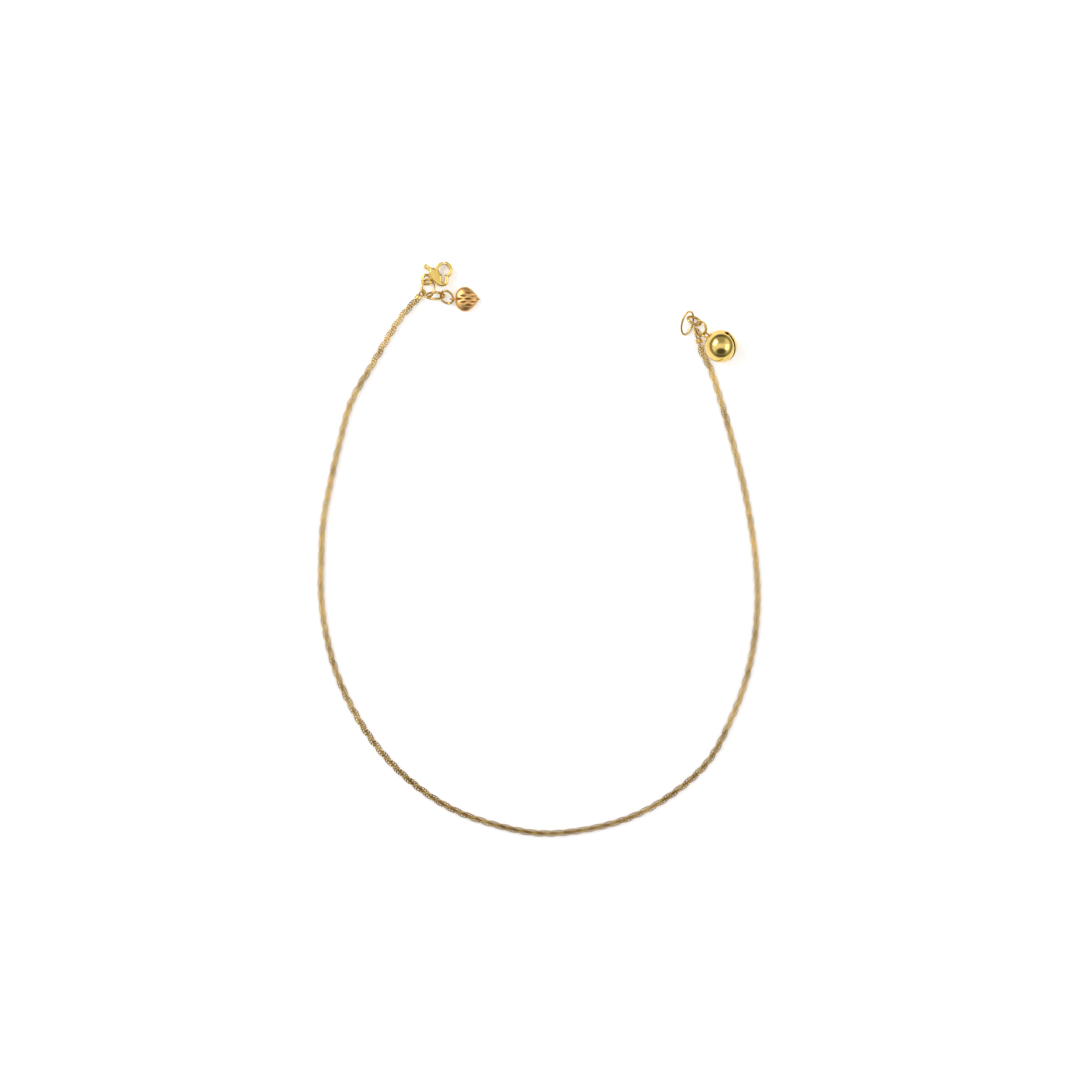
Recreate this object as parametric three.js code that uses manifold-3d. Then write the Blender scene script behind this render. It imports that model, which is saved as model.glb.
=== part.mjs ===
// A gold chain anklet lying open on a table, in millimetres, +Z up, with the table at z = 0.
// A rope chain ends in a lobster clasp with a heart charm at the left, and in a jingle bell at the right.
import * as THREE from "three";
import { mergeVertices } from "three/addons/utils/BufferGeometryUtils.js";
import Module from "manifold-3d";

const wasm = await Module();
wasm.setup();

// Sizes

// The loop that the chain lies in: across it, and from the clasp's end down to its foot
const loopWidth = 87.2;
const loopDepth = 106.64;

// The rope chain, by the diameter round its twisted strands
const chainDiameter = 1.5;
const chainSteps = 80;
const chainSides = 10;

// Clearance between pieces that meet, and how deep soldered forms run into each other
const clearance = 0.1;
const solder = 0.11;

// The soldered end of the chain: a short sleeve with an eye, which hangs from the chain's height to its own
const eyeHeight = 0.65;
const sleeveDiameter = 1.4;
const sleeveLength = 0.9;
const leftEyeLong = 0.66;
const leftEyeShort = 0.66;
const rightEyeLong = 1.0;
const rightEyeShort = 0.68;
const eyeWire = 0.36;

// Lobster clasp, in its own plane: u runs from the attachment eye to the claw, v across
const claspThickness = 2.0;
const claspEdge = 0.17;
const claspEyeRadius = 0.92;
const claspEyeWire = 0.6;
const neckWidth = 1.0;
const clawCentre = 3.85;
const clawOuter = 1.75;
const clawInner = 1.02;
const clawTipAngle = 56;
const clawWall = 0.75;
const clawSlotTurn = -122;
const clawSlotReach = 2.2;
const clawSlotWidth = 0.56;
const bodyBulge = 1.78;

// The clasp's lever and its pivot
const pivotAlong = 1.9;
const pivotAcross = 0.72;
const pinDiameter = 0.56;
const pinClearance = 0.07;
const leverThickness = 0.84;
const leverSide = 0.08;
const leverBoss = 0.58;
const leverInner = 1.06;
const leverOuter = 1.66;
const leverReach = 2.66;
const leverTipGap = 0.12;
const tipCutFrom = -6;
const tipCutTo = 34;
const nubAlong = 1.05;
const nubAcross = 2.4;
const nubDiameter = 0.9;
const nubLength = 1.3;
const stemWidth = 0.8;

// Jump rings: half lengths of each oval at the middle of its wire, and the wire
const claspRingLong = 1.95;
const claspRingShort = 1.6;
const claspRingWire = 0.5;
const charmLinkLong = 2.1;
const charmLinkShort = 0.85;
const charmLinkWire = 0.52;
const heartRingLong = 1.4;
const heartRingShort = 1.2;
const heartRingWire = 0.48;
const endRingLong = 2.4;
const endRingShort = 1.2;
const endRingWire = 0.42;
const tagLinkLong = 1.4;
const tagLinkShort = 0.85;
const tagLinkWire = 0.54;

// The bell's bail: a wide band bent round
const bailRadius = 1.45;
const bailWall = 0.34;
const bailBand = 0.66;

// Heart charm
const heartLength = 4.9;
const heartWidth = 5.0;
const heartThickness = 2.0;
const heartNotchDepth = 0.3;
const heartLoopRadius = 0.6;
const heartLoopWire = 0.4;
const cutLength = 1.6;
const cutWidth = 0.5;
const cutDepth = 0.16;
const cutRowPitch = 0.66;
const cutColumnPitch = 1.9;

// Jingle bell
const bellDiameter = 6.54;
const bellWall = 0.32;
const bellSlit = 0.5;
const bellSlitEnd = 1.1;
const bellLoopRadius = 0.82;
const bellLoopWire = 0.4;
const bellLoopSink = 0.17;
const clapperDiameter = 2.2;

// Route of the chain as it lies, from the clasp's end to the bell's end, and how many points keep each end's bend
const endPoints = 3;
const chainRoute = [
  [-24.46, 49.94],
  [-27.7, 46.2],
  [-33.0, 37.5],
  [-37.5, 29.5],
  [-39.9, 21.1],
  [-41.7, 13.1],
  [-43.1, 5.5],
  [-43.5, -2.1],
  [-43.5, -9.8],
  [-42.4, -17.6],
  [-40.2, -25.4],
  [-36.6, -33.0],
  [-31.7, -40.2],
  [-25.4, -46.5],
  [-17.8, -51.6],
  [-9.1, -54.9],
  [0.2, -56.7],
  [9.7, -55.9],
  [18.8, -53.3],
  [27.0, -48.6],
  [33.9, -42.2],
  [38.3, -34.1],
  [41.4, -25.9],
  [43.1, -17.7],
  [43.7, -9.8],
  [43.3, -2.1],
  [42.3, 5.3],
  [40.9, 12.7],
  [39.0, 20.3],
  [36.7, 28.5],
  [34.0, 36.7],
  [32.9, 38.6],
  [32.38, 40.0],
  [32.13, 41.09],
];

// Places and poses: turn about Z, lean about the turned X, spin in the ring's own plane, in degrees
const claspEyePlace = [-22.36, 53.9];
const claspTurn = 29.2;
const heartLoopPlace = [-17.03, 50.0];
const bellLoopPlace = [33.26, 42.78, 2.04];
const bellLoopTurn = 142.2;
const bellRoll = -33;
const leftEyeLean = 45;
const rightEyeLean = 43.6;
const claspRingPose = { at: [-22.16, 52.16, 1.51], turn: -103, lean: 44, spin: 56 };
const charmLinkPose = { at: [-20.7, 50.64, 1.5], turn: 147, lean: 46, spin: 50 };
const heartRingPose = { at: [-18.38, 50.4, 0.88], turn: -29, lean: 29, spin: -23 };
const endRingPose = { at: [29.64, 45.23, 1.07], turn: -132, lean: -31, spin: 32 };
const tagLinkPose = { at: [31.03, 45.7, 0.77], turn: 157, lean: 38, spin: 175 };
const bailPose = { at: [32.27, 44.1, 1.29], turn: 99, lean: -44, spin: 90 };

// Finishes

const yellowGold = new THREE.MeshStandardMaterial({ color: 0xd9a441, roughness: 0.22, metalness: 1 });
const chainGold = new THREE.MeshStandardMaterial({ color: 0xc79b4c, roughness: 0.3, metalness: 1 });
const roseGold = new THREE.MeshStandardMaterial({ color: 0xc07a3a, roughness: 0.28, metalness: 1 });

// Shapes

const degrees = THREE.MathUtils.degToRad;

// A closed geometry as a solid, for joins and cuts.
function solidOf(geometry) {
  const bare = geometry.index ? geometry.toNonIndexed() : geometry.clone();
  for (const name of Object.keys(bare.attributes)) {
    if (name !== "position") bare.deleteAttribute(name);
  }
  const merged = mergeVertices(bare, 1e-4);
  return new wasm.Manifold(
    new wasm.Mesh({
      numProp: 3,
      vertProperties: new Float32Array(merged.attributes.position.array),
      triVerts: new Uint32Array(merged.index.array),
    }),
  );
}

function geometryOf(solid) {
  const mesh = solid.getMesh();
  const points = new Float32Array(mesh.numVert * 3);
  for (let i = 0; i < mesh.numVert; i++) {
    points.set(mesh.vertProperties.subarray(i * mesh.numProp, i * mesh.numProp + 3), i * 3);
  }
  const geometry = new THREE.BufferGeometry();
  geometry.setAttribute("position", new THREE.BufferAttribute(points, 3));
  geometry.setIndex(new THREE.BufferAttribute(mesh.triVerts, 1));
  geometry.computeVertexNormals();
  return geometry;
}

function join(...geometries) {
  return geometryOf(geometries.map(solidOf).reduce((whole, piece) => whole.add(piece)));
}

function cut(geometry, ...tools) {
  return geometryOf(tools.map(solidOf).reduce((whole, tool) => whole.subtract(tool), solidOf(geometry)));
}

// A ring of round wire, oval by its two half lengths.
function ovalRing(long, short, wire, wireSides = 6, steps = 24) {
  const geometry = new THREE.TorusGeometry(short, wire / 2, wireSides, steps);
  const points = geometry.attributes.position;
  for (let i = 0; i < points.count; i++) {
    const angle = Math.atan2(points.getY(i), points.getX(i));
    points.setX(i, points.getX(i) + (long - short) * Math.cos(angle));
  }
  return geometry;
}

// An outline whose points are all apart, as arcs that start where a line ends repeat a point.
function cleaned(shape) {
  const points = shape.getPoints(10);
  const apart = points.filter((point, i) => point.distanceTo(points.at(i - 1)) > 1e-3);
  return new THREE.Shape(apart);
}

// A flat outline with its thickness centred on z = 0.
function plate(shape, thickness, edge = 0) {
  const options = { depth: thickness - 2 * edge, bevelEnabled: edge > 0 };
  if (edge > 0) {
    Object.assign(options, { bevelThickness: edge, bevelSize: edge, bevelOffset: -edge, bevelSegments: 2 });
  }
  return new THREE.ExtrudeGeometry(cleaned(shape), options).translate(0, 0, edge - thickness / 2);
}

// A cylinder along Z, centred on z = 0.
function pin(diameter, length, x = 0, y = 0, sides = 20) {
  return new THREE.CylinderGeometry(diameter / 2, diameter / 2, length, sides).rotateX(Math.PI / 2).translate(x, y, 0);
}

// A bar between two points of a plate's plane.
function bar(from, to, width, thickness) {
  const along = new THREE.Vector2(to[0] - from[0], to[1] - from[1]);
  return new THREE.BoxGeometry(along.length(), width, thickness)
    .rotateZ(along.angle())
    .translate((from[0] + to[0]) / 2, (from[1] + to[1]) / 2, 0);
}

function posed(mesh, pose) {
  const zAxis = new THREE.Vector3(0, 0, 1);
  const xAxis = new THREE.Vector3(1, 0, 0);
  mesh.position.set(...pose.at);
  mesh.quaternion
    .setFromAxisAngle(zAxis, degrees(pose.turn))
    .multiply(new THREE.Quaternion().setFromAxisAngle(xAxis, degrees(pose.lean)))
    .multiply(new THREE.Quaternion().setFromAxisAngle(zAxis, degrees(pose.spin)));
  return mesh;
}

const anklet = new THREE.Group();
const claspEnd = new THREE.Group();
const bellEnd = new THREE.Group();
anklet.add(claspEnd, bellEnd);

function add(name, geometry, material, parent) {
  const mesh = new THREE.Mesh(geometry, material);
  mesh.name = name;
  parent.add(mesh);
  return mesh;
}

// Rope chain

function chainSection() {
  const shape = new THREE.Shape();
  for (let i = 0; i < chainSides; i++) {
    const angle = (2 * Math.PI * i) / chainSides;
    const point = [(chainDiameter / 2) * Math.cos(angle), (chainDiameter / 2) * Math.sin(angle)];
    if (i === 0) shape.moveTo(...point);
    else shape.lineTo(...point);
  }
  return shape;
}

// The route takes the loop's width and depth, while each end's few points only move with the end.
const spanOf = (values) => Math.max(...values) - Math.min(...values);
const stretchX = loopWidth / spanOf(chainRoute.map(([x]) => x));
const stretchY = loopDepth / spanOf(chainRoute.map(([, y]) => y));
const moveOf = ([x, y]) => new THREE.Vector3(x * (stretchX - 1), y * (stretchY - 1), 0);
claspEnd.position.copy(moveOf(chainRoute[0]));
bellEnd.position.copy(moveOf(chainRoute.at(-1)));

const route = chainRoute.map(([x, y], i) => {
  const point = new THREE.Vector3(x, y, chainDiameter / 2);
  if (i < endPoints) return point.add(claspEnd.position);
  if (i >= chainRoute.length - endPoints) return point.add(bellEnd.position);
  return point.add(moveOf([x, y]));
});
const chainCurve = new THREE.CatmullRomCurve3(route, false, "centripetal");
add(
  "rope_chain",
  new THREE.ExtrudeGeometry(chainSection(), { steps: chainSteps, extrudePath: chainCurve }),
  chainGold,
  anklet,
);

// The sleeve runs on from the chain along X, with the eye beyond it.
function chainEnd(name, place, direction, eyeLong, eyeShort, lean) {
  const sleeve = new THREE.CylinderGeometry(sleeveDiameter / 2, sleeveDiameter / 2, sleeveLength, 12)
    .rotateZ(Math.PI / 2)
    .translate(clearance + sleeveLength / 2, 0, 0);
  const eyeAt = clearance + sleeveLength + eyeLong + eyeWire / 2 - solder;
  const eye = ovalRing(eyeLong, eyeShort, eyeWire, 6, 16).rotateX(degrees(lean)).translate(eyeAt, 0, 0);
  const drop = Math.asin((place.z - eyeHeight) / eyeAt);
  const mesh = add(name, join(sleeve, eye), chainGold, anklet);
  mesh.position.copy(place);
  mesh.rotation.set(0, drop, Math.atan2(direction.y, direction.x), "ZYX");
}

const leftDirection = chainCurve.getTangentAt(0).negate();
chainEnd("left_chain_end", chainCurve.getPointAt(0), leftDirection, leftEyeLong, leftEyeShort, leftEyeLean);
const rightDirection = chainCurve.getTangentAt(1);
chainEnd("right_chain_end", chainCurve.getPointAt(1), rightDirection, rightEyeLong, rightEyeShort, rightEyeLean);

// Lobster clasp

const clasp = new THREE.Group();
clasp.position.set(...claspEyePlace, claspThickness / 2);
clasp.rotation.z = degrees(claspTurn);
claspEnd.add(clasp);

// The claw's outline: from the neck under the body and round the outside of the claw to its tip, then back along
// the inside, whose opening narrows to a slot.
function claspOutline() {
  const shape = new THREE.Shape();
  const tip = degrees(clawTipAngle);
  const innerEnd = degrees(146);
  const neckEnd = claspEyeRadius;
  const slotTurn = degrees(clawSlotTurn);
  const slotX = clawCentre + clawSlotReach * Math.cos(slotTurn);
  const slotY = clawSlotReach * Math.sin(slotTurn);
  const footRadius = clawSlotWidth / 2 + clawWall;
  const slotHalfTurn = Math.asin(clawSlotWidth / 2 / clawInner);
  const wallTurn = Math.acos(footRadius / clawOuter);
  shape.moveTo(neckEnd, -neckWidth / 2);
  shape.bezierCurveTo(
    neckEnd,
    -bodyBulge * 0.6,
    neckEnd * 1.4,
    slotY - footRadius * 0.85,
    slotX + footRadius * Math.cos(slotTurn),
    slotY + footRadius * Math.sin(slotTurn),
  );
  shape.absarc(slotX, slotY, footRadius, slotTurn, slotTurn + Math.PI / 2, false);
  shape.absarc(clawCentre, 0, clawOuter, slotTurn + Math.PI / 2 - wallTurn, tip, false);
  shape.absarc(clawCentre, 0, clawInner, tip, slotTurn + slotHalfTurn, true);
  shape.absarc(slotX, slotY, clawSlotWidth / 2, slotTurn + Math.PI / 2, slotTurn - Math.PI / 2, true);
  shape.absarc(clawCentre, 0, clawInner, slotTurn - slotHalfTurn, innerEnd - 2 * Math.PI, true);
  shape.lineTo(clawCentre + clawOuter * Math.cos(innerEnd), clawOuter * Math.sin(innerEnd) + 0.3);
  shape.bezierCurveTo(
    clawCentre - clawOuter * 1.1,
    bodyBulge,
    neckEnd + 0.25,
    bodyBulge * 0.95,
    neckEnd,
    neckWidth / 2,
  );
  shape.closePath();
  return shape;
}

// The slot in the middle of the body that the lever lies and swings in.
function leverSlot() {
  const shape = new THREE.Shape();
  shape.moveTo(pivotAlong - leverBoss - clearance, pivotAcross - 0.2);
  shape.lineTo(pivotAlong - 0.25, pivotAcross - leverBoss - clearance);
  shape.lineTo(clawCentre - clawInner + 0.3, -clawInner * 0.75);
  shape.lineTo(clawCentre, bodyBulge + 0.5);
  shape.lineTo(nubAlong - 0.4, bodyBulge + 0.5);
  shape.lineTo(nubAlong - 0.4, bodyBulge - 0.5);
  shape.closePath();
  return plate(shape, leverThickness + 2 * leverSide);
}

// A sector round the pivot, out to the arc that the end of the gate swings along.
function gateSweep(reach, from, to, thickness) {
  const shape = new THREE.Shape();
  const start = degrees(from);
  shape.moveTo(pivotAlong, pivotAcross);
  shape.lineTo(pivotAlong + reach * Math.cos(start), pivotAcross + reach * Math.sin(start));
  shape.absarc(pivotAlong, pivotAcross, reach, start, degrees(to), false);
  return plate(shape, thickness);
}

const claspPlate = plate(claspOutline(), claspThickness, claspEdge);
const claspTipCut = gateSweep(leverReach + leverTipGap, tipCutFrom, tipCutTo, 2 * claspThickness);
const claspSlotted = cut(claspPlate, leverSlot(), claspTipCut);
const claspEye = ovalRing(claspEyeRadius, claspEyeRadius, claspEyeWire, 8, 24);
const pivotPin = pin(pinDiameter, claspThickness - claspEdge, pivotAlong, pivotAcross);
add("clasp_body", join(claspSlotted, claspEye, pivotPin), yellowGold, clasp);

// The lever's gate: the band of the claw's ring that runs from the boss on the pivot towards the claw's tip.
function leverGate() {
  const start = degrees(clawTipAngle - 20);
  const end = degrees(152);
  const shape = new THREE.Shape();
  shape.absarc(clawCentre, 0, leverOuter, start, end, false);
  shape.lineTo(pivotAlong, pivotAcross + leverBoss * 0.8);
  shape.lineTo(pivotAlong, pivotAcross - leverBoss * 0.8);
  shape.absarc(clawCentre, 0, leverInner, degrees(160), start, true);
  shape.closePath();
  return plate(shape, leverThickness);
}

const leverHole = pin(pinDiameter + 2 * pinClearance, leverThickness * 2, pivotAlong, pivotAcross);
const gateLength = gateSweep(leverReach, -60, 120, 2 * leverThickness);
const gate = geometryOf(solidOf(leverGate()).intersect(solidOf(gateLength)));
const lever = join(
  gate,
  pin(2 * leverBoss, leverThickness, pivotAlong, pivotAcross),
  bar([pivotAlong, pivotAcross], [nubAlong, nubAcross], stemWidth, leverThickness),
  pin(nubDiameter, nubLength, nubAlong, nubAcross),
);
add("clasp_lever", cut(lever, leverHole), yellowGold, clasp);

// Jump rings

function jumpRing(name, long, short, wire, pose, parent) {
  posed(add(name, ovalRing(long, short, wire), yellowGold, parent), pose);
}

jumpRing("clasp_jump_ring", claspRingLong, claspRingShort, claspRingWire, claspRingPose, claspEnd);
jumpRing("charm_link", charmLinkLong, charmLinkShort, charmLinkWire, charmLinkPose, claspEnd);
jumpRing("heart_ring", heartRingLong, heartRingShort, heartRingWire, heartRingPose, claspEnd);
jumpRing("end_ring", endRingLong, endRingShort, endRingWire, endRingPose, bellEnd);
jumpRing("tag_link", tagLinkLong, tagLinkShort, tagLinkWire, tagLinkPose, bellEnd);

// The bail is a band with a slightly crowned outside, turned round its own axis.
function bailGeometry() {
  const inner = bailRadius - bailWall / 2;
  const outer = bailRadius + bailWall / 2;
  const half = bailBand / 2;
  const corner = bailWall * 0.32;
  const profile = [
    [inner, -half + corner],
    [inner + corner, -half],
    [outer - corner, -half],
    [outer, -half + corner],
    [outer, half - corner],
    [outer - corner, half],
    [inner + corner, half],
    [inner, half - corner],
    [inner, -half + corner],
  ].map(([x, y]) => new THREE.Vector2(x, y));
  return new THREE.LatheGeometry(profile, 28).rotateX(Math.PI / 2);
}

posed(add("bell_bail", bailGeometry(), yellowGold, bellEnd), bailPose);

// Heart charm, with its tip along X

// One point of the heart's outline, t running from the notch round the lobe to the tip, round there and pointed here.
function heartOutline(t) {
  const swell = Math.abs(Math.sin(t));
  const along = -0.5 * Math.cos(t) - 0.04 * (1 - Math.cos(2 * t));
  const across = (Math.sin(t) / 2) * swell ** (0.5 - 0.5 * Math.cos(t));
  return new THREE.Vector2(along * heartLength + heartNotchDepth * (1 - swell) ** 4, across * heartWidth);
}

const heartNotch = heartOutline(0).x;
const heartMiddle = (heartNotch + heartOutline(Math.PI).x) / 2;

// How much of the way from the middle to the outline a point lies.
function heartShare(x, y) {
  const turn = Math.atan2(y, x - heartMiddle);
  let nearest = Infinity;
  let reach = 1;
  for (let t = 0; t < 2 * Math.PI; t += 0.01) {
    const edge = heartOutline(t);
    const off = Math.abs(Math.atan2(Math.sin(turn), Math.cos(turn)) - Math.atan2(edge.y, edge.x - heartMiddle));
    if (off < nearest) {
      nearest = off;
      reach = Math.hypot(edge.x - heartMiddle, edge.y);
    }
  }
  return Math.hypot(x - heartMiddle, y) / reach;
}

// Rings of the outline that shrink towards its middle as they rise to the dome, over and under.
function heartBody() {
  const around = 36;
  const levels = 5;
  const points = [];
  const triangles = [];
  const rings = [];
  for (let level = 1 - levels; level < levels; level++) {
    const rise = Math.sin((Math.PI / 2) * (level / levels));
    const share = Math.sqrt(1 - rise * rise);
    const ring = [];
    for (let i = 0; i < around; i++) {
      const edge = heartOutline((2 * Math.PI * i) / around);
      ring.push(points.length / 3);
      points.push(heartMiddle + (edge.x - heartMiddle) * share, edge.y * share, (rise * heartThickness) / 2);
    }
    rings.push(ring);
  }
  const under = points.length / 3;
  points.push(heartMiddle, 0, -heartThickness / 2);
  const over = points.length / 3;
  points.push(heartMiddle, 0, heartThickness / 2);
  for (let i = 0; i < around; i++) {
    const j = (i + 1) % around;
    triangles.push(under, rings[0][i], rings[0][j]);
    for (let k = 0; k + 1 < rings.length; k++) {
      triangles.push(rings[k][i], rings[k + 1][j], rings[k][j]);
      triangles.push(rings[k][i], rings[k + 1][i], rings[k + 1][j]);
    }
    triangles.push(over, rings.at(-1)[j], rings.at(-1)[i]);
  }
  const geometry = new THREE.BufferGeometry();
  geometry.setAttribute("position", new THREE.BufferAttribute(new Float32Array(points), 3));
  geometry.setIndex(triangles);
  return geometry;
}

// The diamond cuts: lozenges in rows, every other row set over by half a pitch, on both faces.
function heartCuts() {
  const cuts = [];
  const rows = Math.floor(heartWidth / 2 / cutRowPitch);
  const columns = Math.ceil(heartLength / cutColumnPitch);
  for (let row = -rows; row <= rows; row++) {
    for (let column = -columns; column <= columns; column++) {
      const x = heartMiddle + (column + (row % 2 === 0 ? 0 : 0.5)) * cutColumnPitch;
      const y = row * cutRowPitch;
      const share = heartShare(x, y);
      if (share > 0.78) continue;
      const height = (heartThickness / 2) * Math.sqrt(1 - share * share);
      for (const face of [-1, 1]) {
        const lozenge = new THREE.OctahedronGeometry(1).scale(cutLength / 2, cutWidth / 2, cutDepth);
        cuts.push(lozenge.translate(x, y, face * height));
      }
    }
  }
  return cuts;
}

const heartLoopAt = heartNotch + heartLoopWire / 4 - heartLoopRadius;
const heartLoop = ovalRing(heartLoopRadius, heartLoopRadius, heartLoopWire, 8, 18)
  .rotateX(degrees(90))
  .translate(heartLoopAt, 0, 0);
add(
  "heart_charm",
  join(cut(heartBody(), ...heartCuts()), heartLoop),
  roseGold,
  claspEnd,
).position.set(heartLoopPlace[0] - heartLoopAt, heartLoopPlace[1], heartThickness / 2);

// Jingle bell: its loop is up its own Z axis, and the slit goes round its lower half across X.
// It lies on the table with the loop where the bail holds it, so its size sets how far the loop leans.

const bellRadius = bellDiameter / 2;
const bellLoopReach = bellRadius + bellLoopRadius - bellLoopSink;
const bellLoopLean = Math.acos((bellLoopPlace[2] - bellRadius) / bellLoopReach);
const bellLoopSpan = bellLoopReach * Math.sin(bellLoopLean);
const bellPlace = [
  bellLoopPlace[0] - bellLoopSpan * Math.cos(degrees(bellLoopTurn)),
  bellLoopPlace[1] - bellLoopSpan * Math.sin(degrees(bellLoopTurn)),
];

function bellGeometry() {
  const shell = new THREE.SphereGeometry(bellRadius, 32, 20);
  const hollow = new THREE.SphereGeometry(bellRadius - bellWall, 24, 16);
  const slit = new THREE.BoxGeometry(bellSlit, 3 * bellRadius, 2 * bellRadius).translate(0, 0, -bellRadius);
  const slitEnds = new THREE.CylinderGeometry(bellSlitEnd / 2, bellSlitEnd / 2, 3 * bellRadius, 16);
  const loop = ovalRing(bellLoopRadius, bellLoopRadius, bellLoopWire, 8, 18)
    .rotateX(degrees(90))
    .translate(0, 0, bellLoopReach);
  const upright = [shell, hollow].map((ball) => ball.rotateX(degrees(90)));
  const outside = solidOf(upright[0]).add(solidOf(loop));
  const spaces = solidOf(upright[1]).add(solidOf(slit)).add(solidOf(slitEnds));
  return geometryOf(outside.subtract(spaces));
}

const bell = new THREE.Group();
bell.position.set(...bellPlace, bellRadius);
bell.rotation.set(0, bellLoopLean, degrees(bellLoopTurn), "ZYX");
bellEnd.add(bell);
add("bell", bellGeometry(), yellowGold, bell).rotation.z = degrees(bellRoll);

// The loose ball that rings the bell lies at the bottom of the hollow
add(
  "bell_clapper",
  new THREE.SphereGeometry(clapperDiameter / 2, 14, 10),
  chainGold,
  bellEnd,
).position.set(...bellPlace, bellWall + clearance + clapperDiameter / 2);

// The origin is the middle of the foot of the whole anklet's box
const box = new THREE.Box3().setFromObject(anklet, true);
const middle = box.getCenter(new THREE.Vector3());
anklet.position.set(-middle.x, -middle.y, -box.min.z);

export default anklet;
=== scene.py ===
"""The looks of a gold rope chain anklet with a lobster clasp, a heart charm and a jingle bell."""

import math

import bmesh
import bpy
import numpy as np
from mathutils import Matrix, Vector


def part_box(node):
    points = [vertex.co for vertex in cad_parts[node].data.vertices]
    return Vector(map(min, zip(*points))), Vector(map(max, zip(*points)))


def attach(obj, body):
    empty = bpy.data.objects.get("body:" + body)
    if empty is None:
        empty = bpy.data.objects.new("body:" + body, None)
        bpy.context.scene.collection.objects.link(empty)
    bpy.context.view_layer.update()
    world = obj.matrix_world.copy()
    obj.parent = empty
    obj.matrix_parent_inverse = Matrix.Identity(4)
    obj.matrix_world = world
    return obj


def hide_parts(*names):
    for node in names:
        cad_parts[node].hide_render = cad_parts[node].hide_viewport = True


MM = 0.001

# The chain's links and how they lie round its centre
CHAIN_DIAMETER = 1.5 * MM
STRANDS = 3
LINK_PITCH = 0.19 * MM
LINK_RADIUS = 0.375 * MM
LINK_WIRE = 0.19 * MM
LINK_OFFSET = 0.28 * MM
LINK_TILT = math.radians(37)
TWIST_PITCH = 7.8 * MM
WAY_STEP = 0.5 * MM
LINK_STEPS = 18
LINK_SIDES = 6

# The chain's painted shade, deep in the twist, beside and under it and towards the loop's foot, and its
# tarnish, in patches
DEPTH_FROM = 0.2
DEPTH_GAIN = 0.9
SIDE_FROM = 0.4
SIDE_GAIN = 1.7
UNDER_GAIN = 1.4
FOOT_DEPTH = 60 * MM
FOOT_FROM = 0.3
FOOT_LEAST = -0.2
FOOT_MOST = 0.6
FOOT_GAIN = 0.9
PATCH_PITCH = 1.4 * MM
PATCH_LEAST = -0.35
PATCH_MOST = 0.4
PATCH_SEED = 5

# The chain's soldered ends: a sleeve and an eye of two radii that leans
CLEARANCE = 0.1 * MM
SLEEVE_DIAMETER = 1.4 * MM
SLEEVE_LENGTH = 0.9 * MM
SLEEVE_EDGE = 0.14 * MM
EYE_HEIGHT = 0.65 * MM
EYE_WIRE = 0.36 * MM
SOLDER = 0.11 * MM
LEFT_EYE = (0.66 * MM, 0.66 * MM)
LEFT_EYE_LEAN = math.radians(45)
RIGHT_EYE = (1.0 * MM, 0.68 * MM)
RIGHT_EYE_LEAN = math.radians(43.6)

# Lobster clasp, in its own plane: X runs from its eye to its claw
CLASP_THICKNESS = 2.0 * MM
CLASP_EDGE = 0.3 * MM
CLASP_EYE_RADIUS = 0.92 * MM
CLASP_EYE_WIRE = 0.6 * MM
NECK_WIDTH = 1.0 * MM
CLAW_CENTRE = 3.85 * MM
CLAW_OUTER = 1.75 * MM
CLAW_INNER = 1.02 * MM
CLAW_TIP = math.radians(56)
CLAW_BACK = math.radians(146)
CLAW_BACK_RISE = 0.3 * MM
CLAW_WALL = 0.75 * MM
CLAW_SLOT_TURN = math.radians(-122)
CLAW_SLOT_REACH = 2.2 * MM
CLAW_SLOT_WIDTH = 0.56 * MM
BODY_BULGE = 1.78 * MM

# How far the body's curves pull: under it from the neck to the claw's foot, then over it from its back
UNDER_NECK_PULL = 0.6
UNDER_SWEEP = 1.4
UNDER_FOOT_PULL = 0.85
OVER_BACK_PULL = 1.1
OVER_SWEEP = 0.25 * MM
OVER_NECK_PULL = 0.95

# The clasp's pin and lever. The lever's parts differ a hair in thickness, so that no two faces share a plane
PIVOT = (1.9 * MM, 0.72 * MM)
SWING_FROM = math.radians(-6)
SWING_TO = math.radians(34)
PIN_DIAMETER = 0.56 * MM
PIN_INSET = 0.05 * MM
PIN_EDGE = 0.06 * MM
PIN_CLEARANCE = 0.07 * MM
LEVER_THICKNESS = 0.84 * MM
LEVER_SIDE = 0.08 * MM
LEVER_EDGE = 0.1 * MM
LEVER_BOSS = 0.58 * MM
LEVER_INNER = 1.06 * MM
LEVER_OUTER = 1.66 * MM
LEVER_REACH = 2.66 * MM
REACH_FROM = math.radians(-60)
REACH_TO = math.radians(120)
GATE_OVERLAP = math.radians(20)
GATE_OUTER_END = math.radians(152)
GATE_INNER_END = math.radians(160)
GATE_ROOT = 0.8
TIP_GAP = 0.12 * MM
BOSS_SHARE = 0.998
BOSS_EDGE = 0.05 * MM
STEM_SHARE = 0.96
STEM_EDGE = 0.08 * MM
STEM_WIDTH = 0.8 * MM
NUB = (1.05 * MM, 2.4 * MM)
NUB_DIAMETER = 0.9 * MM
NUB_LENGTH = 1.3 * MM
NUB_EDGE = 0.14 * MM

# The lever's slot in the body: its cut corner by the boss, its foot in the claw and its mouth by the nub
SLOT_CORNER = (0.25 * MM, 0.2 * MM)
SLOT_FOOT = 0.75
SLOT_PAST = 0.3 * MM
SLOT_MOUTH = 0.5 * MM
SLOT_NUB_SPACE = 0.4 * MM

# The bell's bail: a band, crowned outside, with rounded edges
BAIL_RADIUS = 1.45 * MM
BAIL_WALL = 0.34 * MM
BAIL_BAND = 0.66 * MM
BAIL_CROWN = 0.45
BAIL_EDGE = 0.3 * BAIL_WALL
BAIL_OUTER_STEPS = 9
BAIL_INNER_STEPS = 7

# The bail's rounded edge: two points of it, as shares of the edge in from the band's inside and off its rim
BAIL_EDGE_IN = (1.6, 0.5)
BAIL_EDGE_OFF = (0.0, 0.15)

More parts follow.
